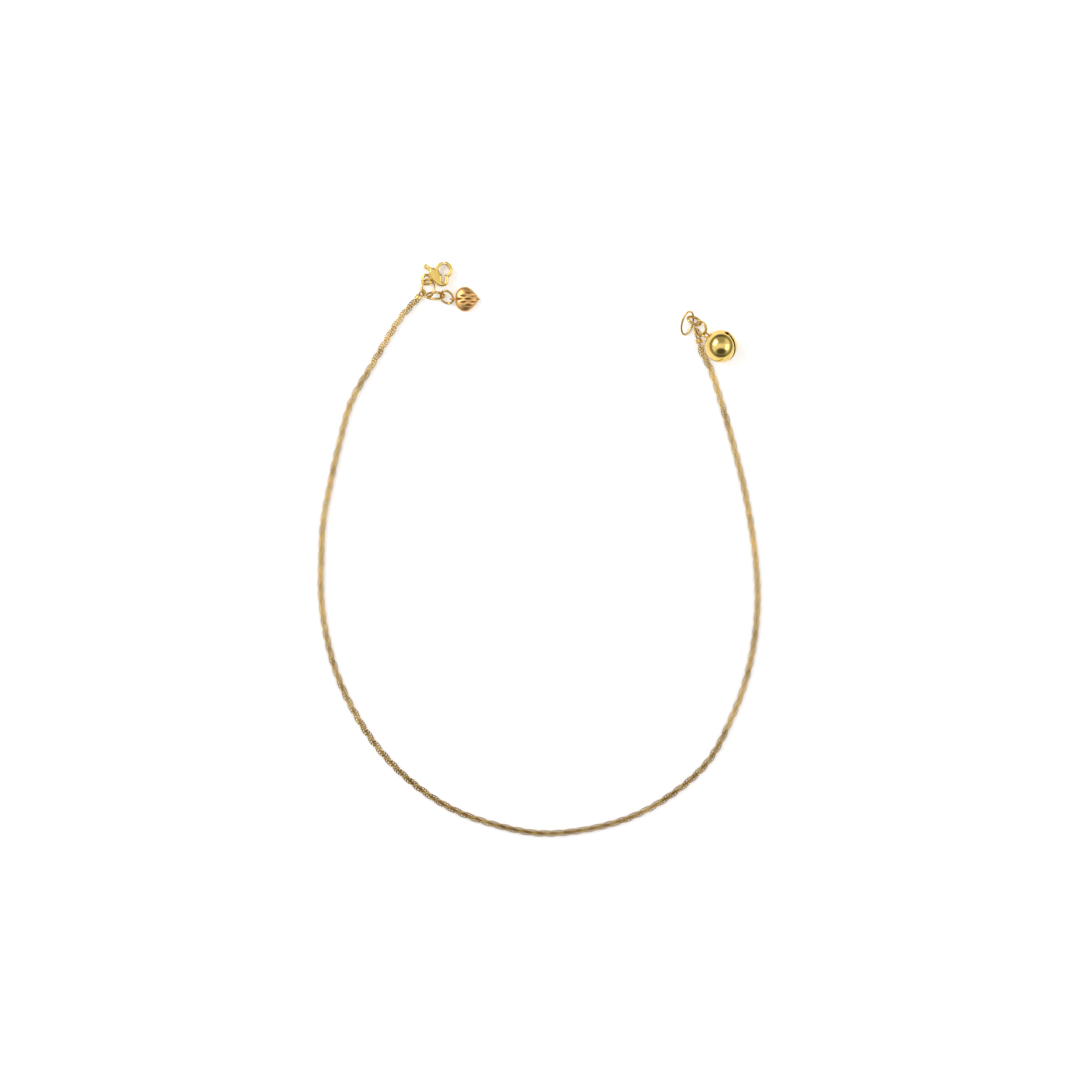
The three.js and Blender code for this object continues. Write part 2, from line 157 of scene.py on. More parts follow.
# Heart charm
HEART_LENGTH = 4.9 * MM
HEART_WIDTH = 5.0 * MM
HEART_THICKNESS = 2.0 * MM
HEART_FULLNESS = 0.04
HEART_NOTCH_DEPTH = 0.3 * MM
HEART_LOOP_RADIUS = 0.6 * MM
HEART_LOOP_WIRE = 0.4 * MM
CUT_LENGTH = 1.6 * MM
CUT_WIDTH = 0.5 * MM
CUT_DEPTH = 0.16 * MM
CUT_DEEPEST = 0.5
CUT_ROW_PITCH = 0.66 * MM
CUT_COLUMN_PITCH = 1.9 * MM
CUT_FIELD = 0.78
# How much painted shade the cuts get for their depth
CUT_SHADE = 2.0

# Jingle bell
BELL_DIAMETER = 6.54 * MM
BELL_WALL = 0.32 * MM
BELL_SLIT = 0.5 * MM
BELL_SLIT_END = 1.1 * MM
BELL_SLIT_PAST = 1.5
BELL_LOOP_RADIUS = 0.82 * MM
BELL_LOOP_WIRE = 0.4 * MM
BELL_LOOP_SINK = 0.17 * MM
CLAPPER_DIAMETER = 2.2 * MM

# Route of the chain as it lies, from the clasp's end to the bell's end, in millimetres
CHAIN_ROUTE = [
    (-24.46, 49.94),
    (-27.7, 46.2),
    (-33.0, 37.5),
    (-37.5, 29.5),
    (-39.9, 21.1),
    (-41.7, 13.1),
    (-43.1, 5.5),
    (-43.5, -2.1),
    (-43.5, -9.8),
    (-42.4, -17.6),
    (-40.2, -25.4),
    (-36.6, -33.0),
    (-31.7, -40.2),
    (-25.4, -46.5),
    (-17.8, -51.6),
    (-9.1, -54.9),
    (0.2, -56.7),
    (9.7, -55.9),
    (18.8, -53.3),
    (27.0, -48.6),
    (33.9, -42.2),
    (38.3, -34.1),
    (41.4, -25.9),
    (43.1, -17.7),
    (43.7, -9.8),
    (43.3, -2.1),
    (42.3, 5.3),
    (40.9, 12.7),
    (39.0, 20.3),
    (36.7, 28.5),
    (34.0, 36.7),
    (32.9, 38.6),
    (32.38, 40.0),
    (32.13, 41.09),
]

# Places in millimetres and turns in degrees. A pose is a turn about Z, a lean about the turned X and a spin
# in the ring's own plane
CLASP_EYE_PLACE = (-22.36, 53.9)
CLASP_TURN = 29.2
HEART_LOOP_PLACE = (-17.03, 50.0)
BELL_LOOP_PLACE = (33.26, 42.78, 2.04)
BELL_LOOP_TURN = 142.2
BELL_ROLL = -33
BAIL_PLACE = (32.27, 44.1, 1.29)
BAIL_POSE = (99, -44, 90)

# Each ring's long and short radius and its wire in millimetres, its place and its pose
RING_SEAM = 0.03 * MM
RINGS = {
    "clasp_jump_ring": (1.95, 1.6, 0.5, (-22.16, 52.16, 1.51), (-103, 44, 56)),
    "charm_link": (2.1, 0.85, 0.52, (-20.7, 50.64, 1.5), (147, 46, 50)),
    "heart_ring": (1.4, 1.2, 0.48, (-18.38, 50.4, 0.88), (-29, 29, -23)),
    "end_ring": (2.4, 1.2, 0.42, (29.64, 45.23, 1.07), (-132, -31, 32)),
    "tag_link": (1.4, 0.85, 0.54, (31.03, 45.7, 0.77), (157, 38, 175)),
}

# Gold: where its worn patches start and end, and its fine wear
WORN_SCALE = 420.0
WORN_DETAIL = 3.0
WORN_FROM = 0.35
WORN_FULL = 0.7
GRAIN_SCALE = 5200.0
GRAIN_DETAIL = 4.0
GRAIN_FROM = 0.3
GRAIN_FULL = 0.7
WEAR = 0.1
WEAR_DEPTH = 0.02 * MM

# Meshes: steps of a rounded corner, the edge of a rod that only cuts, and how near merged points are
CORNER_STEPS = 6
PLATE_EDGE_STEPS = 5
CUTTER_EDGE = 0.02 * MM
MERGE_DISTANCE = 0.0005 * MM

# Floor
FLOOR_REACH = 2.0
FLOOR_COLOUR = (0.9, 0.9, 0.9, 1)
FLOOR_ROUGHNESS = 0.7
FLOOR_SPECULAR = 0.2
FLOOR_GLOW = 0.35

# Tent: its dark opening on the picture's lower side, in parts of the way from the middle to its side
OPENING_WIDTH = 0.66
OPENING_DEPTH = 0.32
OPENING_NEARER = 0.6
OPENING_INSIDE = 0.6
OPENING_OUTSIDE = 1.15
OPENING_LIGHT = 0.2

# Tent: its light overhead, on the walls beyond the picture's upper and lower sides, round its foot and seen
WALL_X_FROM = 0.15
WALL_X_FULL = 0.75
WALL_Y_FROM = 0.05
WALL_Y_FULL = 0.5
TOP_LIGHT = 1.05
WALL_LIGHT = 0.42
RIM_LOW = 0.34
RIM_HIGH = 0.46
RIM_LIGHT = 0.32
BACKDROP = (0.93, 0.93, 0.93, 1)
LAMP_SHAPE = 0.7

# Camera: straight above, 1080 pixels across 216 mm of the floor
PICTURE_WIDTH = 216 * MM
PICTURE_AIM = (0.2 * MM, 1.9 * MM)
CAMERA_HEIGHT = 0.75
CAMERA_SENSOR = 36
CAMERA_NEAR = 0.01

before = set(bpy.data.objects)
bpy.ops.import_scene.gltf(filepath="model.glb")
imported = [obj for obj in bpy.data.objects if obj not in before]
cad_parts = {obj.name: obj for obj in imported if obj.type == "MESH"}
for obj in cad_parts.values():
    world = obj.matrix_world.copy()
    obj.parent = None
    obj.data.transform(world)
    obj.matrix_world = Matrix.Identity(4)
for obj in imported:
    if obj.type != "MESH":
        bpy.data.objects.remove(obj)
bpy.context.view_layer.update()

# The frame's own origin is the middle of the anklet's foot, a little off the route's
bell_radius = BELL_DIAMETER / 2
loop_reach = bell_radius + BELL_LOOP_RADIUS - BELL_LOOP_SINK
loop_lean = math.acos((BELL_LOOP_PLACE[2] * MM - bell_radius) / loop_reach)
loop_turn = math.radians(BELL_LOOP_TURN)
loop_way = np.array([math.cos(loop_turn), math.sin(loop_turn)])
bell_place = np.array(BELL_LOOP_PLACE[:2]) * MM - loop_reach * math.sin(loop_lean) * loop_way
clapper_place = np.array([*bell_place, BELL_WALL + CLEARANCE + CLAPPER_DIAMETER / 2])
clapper_low, clapper_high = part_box("bell_clapper")
SHIFT = np.array((clapper_low + clapper_high) / 2) - clapper_place


# Places


def about_z(angle):
    """The turn about Z that takes X towards Y."""
    c, s = math.cos(angle), math.sin(angle)
    return np.array([[c, -s, 0], [s, c, 0], [0, 0, 1]])


def about_x(angle):
    """The turn about X that takes Y towards Z."""
    c, s = math.cos(angle), math.sin(angle)
    return np.array([[1, 0, 0], [0, c, -s], [0, s, c]])


def about_y(angle):
    """The turn about Y that takes Z towards X."""
    c, s = math.cos(angle), math.sin(angle)
    return np.array([[c, 0, s], [0, 1, 0], [-s, 0, c]])


def pose_turn(pose):
    """The turn of a pose: its spin, then its lean, then its turn."""
    turn, lean, spin = (math.radians(angle) for angle in pose)
    return about_z(turn) @ about_x(lean) @ about_z(spin)


def placed(part, turn, at):
    """The part turned about the origin, then moved to a place of the route's frame."""
    points, faces = part
    return points @ turn.T + np.array(at) + SHIFT, faces


def turned(part, turn):
    """The part turned about the origin."""
    points, faces = part
    return points @ turn.T, faces


def moved(part, x=0.0, y=0.0, z=0.0):
    """The part moved along the axes."""
    points, faces = part
    return points + np.array([x, y, z]), faces


# Meshes: a part is its points and a list of arrays of faces, each array for one number of corners


def grid_faces(rows, columns, closed_rows=False):
    """Squares between a grid's points, closed round its columns, and round its rows where asked."""
    steps = rows if closed_rows else rows - 1
    row, column = np.meshgrid(np.arange(steps), np.arange(columns), indexing="ij")
    next_row = (row + 1) % rows
    next_column = (column + 1) % columns
    corners = [(row, column), (row, next_column), (next_row, next_column), (next_row, column)]
    return np.stack([i * columns + j for i, j in corners], -1).reshape(-1, 4)


def fan_faces(rows, columns):
    """Triangles from a grid's first and last row to the two points that follow the grid's own."""
    here = np.arange(columns)
    there = (here + 1) % columns
    last_row = (rows - 1) * columns
    pole = np.full(columns, rows * columns)
    first = np.stack([pole, there, here], -1)
    last = np.stack([pole + 1, last_row + here, last_row + there], -1)
    return np.stack([first, last], 1).reshape(-1, 3)


def together(*parts):
    """The parts as one, without joining them."""
    firsts = np.cumsum([0, *(len(points) for points, faces in parts)])
    faces = [block + first for (points, blocks), first in zip(parts, firsts) for block in blocks]
    return np.concatenate([points for points, blocks in parts]), faces


def full_turn(steps):
    """Angles once round, without the last, which is the first again."""
    return np.linspace(0, 2 * math.pi, steps, endpoint=False)


def ring(long, short, wire, steps=72, sides=16, seam=0.0):
    """A circle of the wire's radius carried round an ellipse in the XY plane.

    A seam leaves it open by that much, as a closed jump ring is.
    """
    around = full_turn(steps)
    if seam > 0:
        gap = seam / long
        around = np.linspace(gap / 2, 2 * math.pi - gap / 2, steps)
    turn, side = np.meshgrid(around, full_turn(sides), indexing="ij")
    radial = wire / 2 * np.cos(side)
    x = (long + radial) * np.cos(turn)
    y = (short + radial) * np.sin(turn)
    z = wire / 2 * np.sin(side)
    faces = [grid_faces(steps, sides, closed_rows=seam == 0)[:, ::-1]]
    if seam > 0:
        start_cap = np.arange(sides)
        end_cap = np.arange((steps - 1) * sides, steps * sides)[::-1]
        faces += [start_cap[None], end_cap[None]]
    return np.stack([x, y, z], -1).reshape(-1, 3), faces


def turned_band(profile, steps):
    """A closed outline of (distance from Z, height) points, carried round Z."""
    around = full_turn(steps)
    profile = np.array(profile)
    x = np.outer(np.cos(around), profile[:, 0])
    y = np.outer(np.sin(around), profile[:, 0])
    z = np.tile(profile[:, 1], (steps, 1))
    points = np.stack([x, y, z], -1).reshape(-1, 3)
    return points, [grid_faces(steps, len(profile), closed_rows=True)]


def turned_solid(profile, steps):
    """An open outline of (distance from Z, height) points, carried round Z, with its two ends on Z."""
    around = full_turn(steps)
    rows = np.array(profile[1:-1])
    x = np.outer(rows[:, 0], np.cos(around))
    y = np.outer(rows[:, 0], np.sin(around))
    z = np.repeat(rows[:, 1], steps).reshape(len(rows), steps)
    poles = [[0, 0, profile[0][1]], [0, 0, profile[-1][1]]]
    points = np.concatenate([np.stack([x, y, z], -1).reshape(-1, 3), poles])
    return points, [grid_faces(len(rows), steps), fan_faces(len(rows), steps)]


def rounded_rod(radius, length, edge, steps=40):
    """A cylinder along Z, centred on the origin, its outline a quarter circle at each end."""
    corner = math.pi / 2 * np.arange(CORNER_STEPS + 1) / CORNER_STEPS
    out = radius - edge + edge * np.sin(corner)
    up = length / 2 - edge + edge * np.cos(corner)
    low = np.stack([out, -up], -1)
    high = np.stack([out, up], -1)[::-1]
    return turned_solid(np.concatenate([[[0, -length / 2]], low, high, [[0, length / 2]]]), steps)


def ball(radius, steps, rows):
    """Half a circle carried round Z."""
    rise = -math.pi / 2 + math.pi * np.arange(rows + 1) / rows
    return turned_solid(radius * np.stack([np.cos(rise), np.sin(rise)], -1), steps)


def mesh_of(name, part):
    """The part as a mesh."""
    points, blocks = part
    mesh = bpy.data.meshes.new(name)
    mesh.from_pydata(points.tolist(), [], [face for block in blocks for face in block.tolist()])
    mesh.update()
    return mesh


def points_of(mesh):
    """A mesh's points as an array."""
    points = np.zeros(len(mesh.vertices) * 3)
    mesh.vertices.foreach_get("co", points)
    return points.reshape(-1, 3)


def put_points(mesh, points):
    """Moves a mesh's points to these places."""
    mesh.vertices.foreach_set("co", points.ravel())
    mesh.update()


def laid(mesh, turn, at):
    """The mesh where it lies, from the place that it was made in."""
    put_points(mesh, placed((points_of(mesh), []), turn, at)[0])
    return mesh


def add_shade_and_tarnish(mesh, values):
    """Stores each point's painted shade and tarnish, as how dark it is, for the material."""
    layer = mesh.attributes.new("shade_and_tarnish", "FLOAT", "POINT")
    layer.data.foreach_set("value", values.astype(np.float32))


def object_of(name, data):
    """A new object of the scene that shows a mesh, a curve, a light or a camera."""
    made = bpy.data.objects.new(name, data)
    bpy.context.scene.collection.objects.link(made)
    return made


def piece(name, mesh, material, nodes, body="anklet", crease=40):
    """Puts a finished mesh in the scene in place of its CAD nodes, its edges sharp past the crease angle."""
    mesh.shade_smooth()
    mesh.set_sharp_from_angle(angle=math.radians(crease))
    made = object_of(name, mesh)
    mesh.materials.clear()
    mesh.materials.append(material)
    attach(made, body)
    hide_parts(*nodes)


def finished(holder):
    """An object's mesh as its modifiers or its curve make it. The object itself goes."""
    bpy.context.view_layer.update()
    mesh = bpy.data.meshes.new_from_object(holder.evaluated_get(bpy.context.evaluated_depsgraph_get()))
    bpy.data.objects.remove(holder)
    return mesh


def combined(name, start, steps):
    """The first mesh with the others joined to it, cut from it or kept of it, in turn."""
    whole = object_of(name, start)
    helpers = []
    for number, (operation, mesh) in enumerate(steps):
        helpers.append(object_of(f"{name}_{number}", mesh))
        modifier = whole.modifiers.new(f"step_{number}", "BOOLEAN")
        modifier.object = helpers[-1]
        modifier.operation = operation
        modifier.solver = "EXACT"
    result = finished(whole)
    for helper in helpers:
        bpy.data.objects.remove(helper)
    result.name = name
    return result


def plate(name, outline, thickness, edge=0.0):
    """A flat outline of XY points as a solid centred on z = 0, its rim rounded by edge."""
    curve = bpy.data.curves.new(name, "CURVE")
    curve.dimensions = "2D"
    curve.fill_mode = "BOTH"
    curve.extrude = thickness / 2 - edge
    curve.bevel_depth = edge
    curve.bevel_resolution = PLATE_EDGE_STEPS
    curve.offset = -edge
    spline = curve.splines.new("POLY")
    spline.points.add(len(outline) - 1)
    flat = np.zeros((len(outline), 4))
    flat[:, :2] = outline
    flat[:, 3] = 1
    spline.points.foreach_set("co", flat.ravel())
    spline.use_cyclic_u = True
    mesh = finished(object_of(name, curve))
    working = bmesh.new()
    working.from_mesh(mesh)
    bmesh.ops.remove_doubles(working, verts=working.verts, dist=MERGE_DISTANCE)
    bmesh.ops.recalc_face_normals(working, faces=working.faces)
    working.to_mesh(mesh)
    working.free()
    return mesh


def arc(centre, radius, start, end, count=24):
    """Points of an arc from one angle to another."""
    angles = np.linspace(start, end, count)
    return np.array(centre) + radius * np.stack([np.cos(angles), np.sin(angles)], -1)


def bezier(start, start_pull, end_pull, end, count=16):
    """Points of a cubic Bezier curve after its first, to its last."""
    t = np.linspace(0, 1, count + 1)[1:, None]
    weights = np.hstack([(1 - t) ** 3, 3 * t * (1 - t) ** 2, 3 * t**2 * (1 - t), t**3])
    return weights @ np.array([start, start_pull, end_pull, end])


# Materials


class Shade:
    """A socket of a node tree. Arithmetic on it adds Math nodes, and its other methods add other nodes."""

    def __init__(self, tree, socket=None):
        self.tree = tree
        self.socket = socket

    def node(self, kind, settings=None, sockets=None, output=0):
        """Adds a node with its settings, then its sockets' values or links, and gives one of its outputs."""
        made = self.tree.nodes.new(kind)
        for name, setting in (settings or {}).items():
            setattr(made, name, setting)
        for name, value in (sockets or {}).items():
            if isinstance(value, Shade):
                self.tree.links.new(value.socket, made.inputs[name])
            else:
                made.inputs[name].default_value = value
        return Shade(self.tree, made.outputs[output] if made.outputs else None)

    def maths(self, operation, *values):
        """A Math node of this operation on numbers or sockets."""
        return self.node("ShaderNodeMath", {"operation": operation}, dict(enumerate(values)))

    def __add__(self, other):
        return self.maths("ADD", self, other)

    def __radd__(self, other):
        return self.maths("ADD", other, self)

    def __sub__(self, other):
        return self.maths("SUBTRACT", self, other)

    def __rsub__(self, other):
        return self.maths("SUBTRACT", other, self)

    def __mul__(self, other):
        return self.maths("MULTIPLY", self, other)

    def __rmul__(self, other):
        return self.maths("MULTIPLY", other, self)

    def __truediv__(self, other):
        return self.maths("DIVIDE", self, other)

    def __rtruediv__(self, other):
        return self.maths("DIVIDE", other, self)

    def __pow__(self, other):
        return self.maths("POWER", self, other)

    def __rpow__(self, other):
        return self.maths("POWER", other, self)

    def __abs__(self):
        return self.maths("ABSOLUTE", self)

    def ramp(self, low, high, to_low=0.0, to_high=1.0):
        """This value's way from low to high, smoothed, as to_low to to_high."""
        sockets = {"Value": self, "From Min": low, "From Max": high, "To Min": to_low, "To Max": to_high}
        return self.node("ShaderNodeMapRange", {"interpolation_type": "SMOOTHSTEP"}, sockets)

    def mix(self, first, second):
        """The first colour where this value is 0 and the second where it is 1."""
        sockets = {"Factor": self, "A": first, "B": second}
        return self.node("ShaderNodeMix", {"data_type": "RGBA"}, sockets, "Result")

    def noise(self, scale, detail):
        """Cloudy noise over this place, from 0 to 1."""
        return self.node("ShaderNodeTexNoise", {}, {"Vector": self, "Scale": scale, "Detail": detail}, "Fac")


def empty_tree(owner):
    """The cleared node tree of a material or the world."""
    owner.use_nodes = True
    owner.node_tree.nodes.clear()
    return Shade(owner.node_tree)


def gold(name, colour, worn, low_roughness, high_roughness, shade_and_tarnish_colour=None):
    """Metal whose colour goes to the worn one in patches, with fine wear in its gloss and as a bump.

    With a shade and tarnish colour, it darkens to that by the points' own values of painted shade and
    tarnish.
    """
    material = bpy.data.materials.new(name)
    tree = empty_tree(material)
    place = tree.node("ShaderNodeTexCoord", output="Object")
    patches = place.noise(WORN_SCALE, WORN_DETAIL)
    grain = place.noise(GRAIN_SCALE, GRAIN_DETAIL)
    base = patches.ramp(WORN_FROM, WORN_FULL).mix((*colour, 1), (*worn, 1))
    if shade_and_tarnish_colour is not None:
        shade_and_tarnish = tree.node("ShaderNodeAttribute", {"attribute_name": "shade_and_tarnish"}, output="Fac")
        base = shade_and_tarnish.mix(base, (*shade_and_tarnish_colour, 1))
    roughness = grain.ramp(GRAIN_FROM, GRAIN_FULL, low_roughness, high_roughness)
    wear = {"Strength": WEAR, "Distance": WEAR_DEPTH, "Height": grain}
    normal = tree.node("ShaderNodeBump", {}, wear, "Normal")
    sockets = {"Metallic": 1.0, "Base Color": base, "Roughness": roughness, "Normal": normal}
    shader = tree.node("ShaderNodeBsdfPrincipled", {}, sockets)
    tree.node("ShaderNodeOutputMaterial", {}, {"Surface": shader})
    return material


polished = gold("polished_gold", (0.86, 0.63, 0.20), (0.77, 0.54, 0.15), 0.06, 0.16)
link_metal = gold("link_gold", (0.76, 0.54, 0.19), (0.62, 0.42, 0.14), 0.12, 0.24)
# The chain's and the heart's last colour is painted shade, mixed in by each point's value; on the chain it
# is also tarnish
chain_metal = gold("chain_gold", (0.99, 0.79, 0.39), (0.94, 0.71, 0.30), 0.14, 0.26, (0.42, 0.26, 0.06))
rose = gold("rose_gold", (0.84, 0.50, 0.20), (0.74, 0.42, 0.16), 0.3, 0.42, (0.5, 0.27, 0.1))


# Rope chain


def smooth_line(points, samples=60):
    """A curve through the points, as close points.

    It is a Catmull-Rom curve, whose pace between two points is the square root of their distance.
    """
    route = np.array(points, float)
    before = 2 * route[0] - route[1]
    after = 2 * route[-1] - route[-2]
    knots = np.vstack([before, route, after])
    found = []
    for p0, p1, p2, p3 in zip(knots[:-3], knots[1:-2], knots[2:-1], knots[3:]):
        t1 = np.linalg.norm(p1 - p0) ** 0.5
        t2 = t1 + np.linalg.norm(p2 - p1) ** 0.5
        t3 = t2 + np.linalg.norm(p3 - p2) ** 0.5
        t = np.linspace(t1, t2, samples, endpoint=False)[:, None]
        a1 = (t1 - t) / t1 * p0 + t / t1 * p1
        a2 = (t2 - t) / (t2 - t1) * p1 + (t - t1) / (t2 - t1) * p2
        a3 = (t3 - t) / (t3 - t2) * p2 + (t - t2) / (t3 - t2) * p3
        b1 = (t2 - t) / t2 * a1 + t / t2 * a2
        b2 = (t3 - t) / (t3 - t1) * a2 + (t - t1) / (t3 - t1) * a3
        found.append((t2 - t) / (t2 - t1) * b1 + (t - t1) / (t2 - t1) * b2)
    found.append(route[-1:])
    return np.concatenate(found)


chain_line = smooth_line(CHAIN_ROUTE) * MM
chain_steps = np.linalg.norm(np.diff(chain_line, axis=0), axis=1)
chain_length = np.concatenate([[0], np.cumsum(chain_steps)])
chain_height = CHAIN_DIAMETER / 2
patch_places = np.arange(0, chain_length[-1] + PATCH_PITCH, PATCH_PITCH)
patch_depths = np.random.default_rng(PATCH_SEED).uniform(PATCH_LEAST, PATCH_MOST, len(patch_places))


def line_at(distance):
    """Places on the chain's centre line at distances along it, no further than its ends."""
    return np.stack([np.interp(distance, chain_length, chain_line[:, axis]) for axis in (0, 1)], -1)


def chain_at(distance):
    """The chain's centre at distances along it, and its direction from a step behind to a step ahead."""
    run = line_at(distance + WAY_STEP) - line_at(distance - WAY_STEP)
    return line_at(distance), run / np.hypot(run[:, 0], run[:, 1])[:, None]


def one_link():
    """A circle of wire that leans and stands off the chain's centre, before it turns with the twist.

    Gives its points' distance out from the centre, their distance beside it and their distance along.
    """
    turn, side = np.meshgrid(full_turn(LINK_STEPS), full_turn(LINK_SIDES), indexing="ij")
    radial = LINK_RADIUS + LINK_WIRE / 2 * np.cos(side)
    lift = LINK_WIRE / 2 * np.sin(side)
    out = LINK_OFFSET + radial * np.cos(turn)
    beside = radial * np.sin(turn) * math.cos(LINK_TILT) + lift * math.sin(LINK_TILT)
    along = lift * math.cos(LINK_TILT) - radial * np.sin(turn) * math.sin(LINK_TILT)
    return out, beside, along


def chain_shade_and_tarnish(side, up, y, distance):
    """How dark the chain's points are, from 0 to 1: painted shade and tarnish.

    It adds up painted shade, by how deep a point is in the twist, how far beside and under the chain's
    centre and how far down the loop, and tarnish, by the patch that its distance along the chain falls in.
    """
    deep = 1 - np.hypot(side, up) / chain_height - DEPTH_FROM
    beside = np.clip(np.abs(side) / chain_height - SIDE_FROM, 0, 1)
    under = np.clip(-up / chain_height, 0, 1)
    # Painted shade deep in the twist, beside the chain and under it
    twist_shade = DEPTH_GAIN * deep + SIDE_GAIN * beside + UNDER_GAIN * under
    at_foot = np.clip(-y / FOOT_DEPTH - FOOT_FROM, FOOT_LEAST, FOOT_MOST)
    patch = np.interp(distance, patch_places, patch_depths)
    return np.clip(twist_shade + FOOT_GAIN * at_foot + patch, 0, 1)


def rope_links(first, last):
    """The chain's links from one number to another, each a copy of one link set along the chain's line.

    A link turns about the line by a part of a full turn for each strand, and by the twist for its distance.
    Also gives each point's painted shade and tarnish.
    """
    out, beside, along = one_link()
    numbers = np.arange(first, last)
    distance = ((numbers + 0.5) * LINK_PITCH)[:, None, None]
    centre, way = chain_at(distance.ravel())
    twist = -2 * math.pi * (numbers[:, None, None] / STRANDS + distance / TWIST_PITCH)
    side = np.cos(twist) * out - np.sin(twist) * beside
    up = np.sin(twist) * out + np.cos(twist) * beside
    way_x, way_y = way[:, 0, None, None], way[:, 1, None, None]
    x = centre[:, 0, None, None] - way_y * side + way_x * along
    y = centre[:, 1, None, None] + way_x * side + way_y * along
    points = np.stack([x, y, chain_height + up], -1).reshape(-1, 3) + SHIFT
    one = grid_faces(LINK_STEPS, LINK_SIDES, closed_rows=True)[:, ::-1]
    starts = np.arange(len(numbers)) * LINK_STEPS * LINK_SIDES
    faces = (one[None] + starts[:, None, None]).reshape(-1, 4)
    return (points, [faces]), chain_shade_and_tarnish(side, up, y, distance).ravel()


def chain_end(name, distance, outward, eye_size, eye_lean):
    """The rod that the rope is soldered into, with a ring as its eye, dropped to the eye's own height."""
    centre, way = chain_at(np.array([distance]))
    direction = way[0] * outward
    sleeve = turned(rounded_rod(SLEEVE_DIAMETER / 2, SLEEVE_LENGTH, SLEEVE_EDGE), about_y(math.pi / 2))
    sleeve = moved(sleeve, x=CLEARANCE + SLEEVE_LENGTH / 2)
    eye_at = CLEARANCE + SLEEVE_LENGTH + eye_size[0] + EYE_WIRE / 2 - SOLDER
    eye = moved(turned(ring(*eye_size, EYE_WIRE, 48, 14), about_x(eye_lean)), x=eye_at)
    drop = math.asin((chain_height - EYE_HEIGHT) / eye_at)
    turn = about_z(math.atan2(direction[1], direction[0])) @ about_y(drop)
    both = placed(together(sleeve, eye), turn, (*centre[0], chain_height))
    piece(name + "_piece", mesh_of(name, both), link_metal, [name])


link_count = int(chain_length[-1] / LINK_PITCH)
middle_link = link_count // 2
# The chain in two halves, each carrying its points' painted shade and tarnish
for links_name, links_range in (
    ("rope_links_left", (0, middle_link)),
    ("rope_links_right", (middle_link, link_count)),
):
    links_part, links_shade_and_tarnish = rope_links(*links_range)
    links_mesh = mesh_of(links_name, links_part)
    add_shade_and_tarnish(links_mesh, links_shade_and_tarnish)
    piece(links_name, links_mesh, chain_metal, ["rope_chain"], crease=80)

chain_end("left_chain_end", 0.0, -1, LEFT_EYE, LEFT_EYE_LEAN)
chain_end("right_chain_end", chain_length[-1], 1, RIGHT_EYE, RIGHT_EYE_LEAN)

# Jump rings and the bell's bail

for ring_name, (ring_long, ring_short, ring_wire, ring_place, ring_pose) in RINGS.items():
    ring_part = ring(ring_long * MM, ring_short * MM, ring_wire * MM, seam=RING_SEAM)
    ring_part = placed(ring_part, pose_turn(ring_pose), np.array(ring_place) * MM)
    ring_mesh = mesh_of(ring_name, ring_part)
    piece(ring_name + "_piece", ring_mesh, link_metal, [ring_name], crease=50)


def bail_profile():
    """The band's section: flat inside, a parabola outside, with its corners cut by the edge."""
    half = BAIL_BAND / 2
    inner = BAIL_RADIUS - BAIL_WALL / 2
    outer_heights = np.linspace(-half + BAIL_EDGE, half - BAIL_EDGE, BAIL_OUTER_STEPS)
    crown = BAIL_RADIUS + BAIL_WALL / 2 * (1 - (outer_heights / half) ** 2 * BAIL_CROWN)
    inner_heights = np.linspace(half - BAIL_EDGE / 2, -half + BAIL_EDGE / 2, BAIL_INNER_STEPS)
    top_out = inner + BAIL_EDGE * np.array(BAIL_EDGE_IN)
    top_heights = half - BAIL_EDGE * np.array(BAIL_EDGE_OFF)
    outside = np.stack([crown, outer_heights], -1)
    top = np.stack([top_out, top_heights], -1)
    inside = np.stack([np.full(BAIL_INNER_STEPS, inner), inner_heights], -1)
    bottom = top[::-1] * [1, -1]
    return np.concatenate([outside, top, inside, bottom])


bail = placed(turned_band(bail_profile(), 64), pose_turn(BAIL_POSE), np.array(BAIL_PLACE) * MM)
piece("bell_bail_piece", mesh_of("bell_bail", bail), link_metal, ["bell_bail"], crease=50)

# Lobster clasp


def clasp_outline():
    """Round the outside of the claw to its tip, then back along the inside, whose opening narrows to a slot.

    The claw and the slot are arcs, and Bezier curves join them to the neck under and over the body.
    """
    neck = CLASP_EYE_RADIUS
    centre = (CLAW_CENTRE, 0)
    turn, right = CLAW_SLOT_TURN, math.pi / 2
    slot_way = np.array([math.cos(turn), math.sin(turn)])
    slot = centre + CLAW_SLOT_REACH * slot_way
    foot = CLAW_SLOT_WIDTH / 2 + CLAW_WALL
    half_turn = math.asin(CLAW_SLOT_WIDTH / 2 / CLAW_INNER)
    wall_turn = math.acos(foot / CLAW_OUTER)
    start = (neck, -NECK_WIDTH / 2)
    under = bezier(
        start,
        (neck, -BODY_BULGE * UNDER_NECK_PULL),
        (neck * UNDER_SWEEP, slot[1] - foot * UNDER_FOOT_PULL),
        slot + foot * slot_way,
    )
    below = arc(slot, foot, turn, turn + right)[1:]
    outside = arc(centre, CLAW_OUTER, turn + right - wall_turn, CLAW_TIP, 40)
    inside = arc(centre, CLAW_INNER, CLAW_TIP, turn + half_turn, 32)
    slot_end = arc(slot, CLAW_SLOT_WIDTH / 2, turn + right, turn - right, 14)
    inside_back = arc(centre, CLAW_INNER, turn - half_turn, CLAW_BACK - 2 * math.pi, 20)
    back = CLAW_OUTER * np.array([math.cos(CLAW_BACK), math.sin(CLAW_BACK)]) + (CLAW_CENTRE, CLAW_BACK_RISE)
    over = bezier(
        back,
        (CLAW_CENTRE - CLAW_OUTER * OVER_BACK_PULL, BODY_BULGE),
        (neck + OVER_SWEEP, BODY_BULGE * OVER_NECK_PULL),
        (neck, NECK_WIDTH / 2),
    )
    return np.vstack([start, under, below, outside, inside, slot_end, inside_back, back, over])


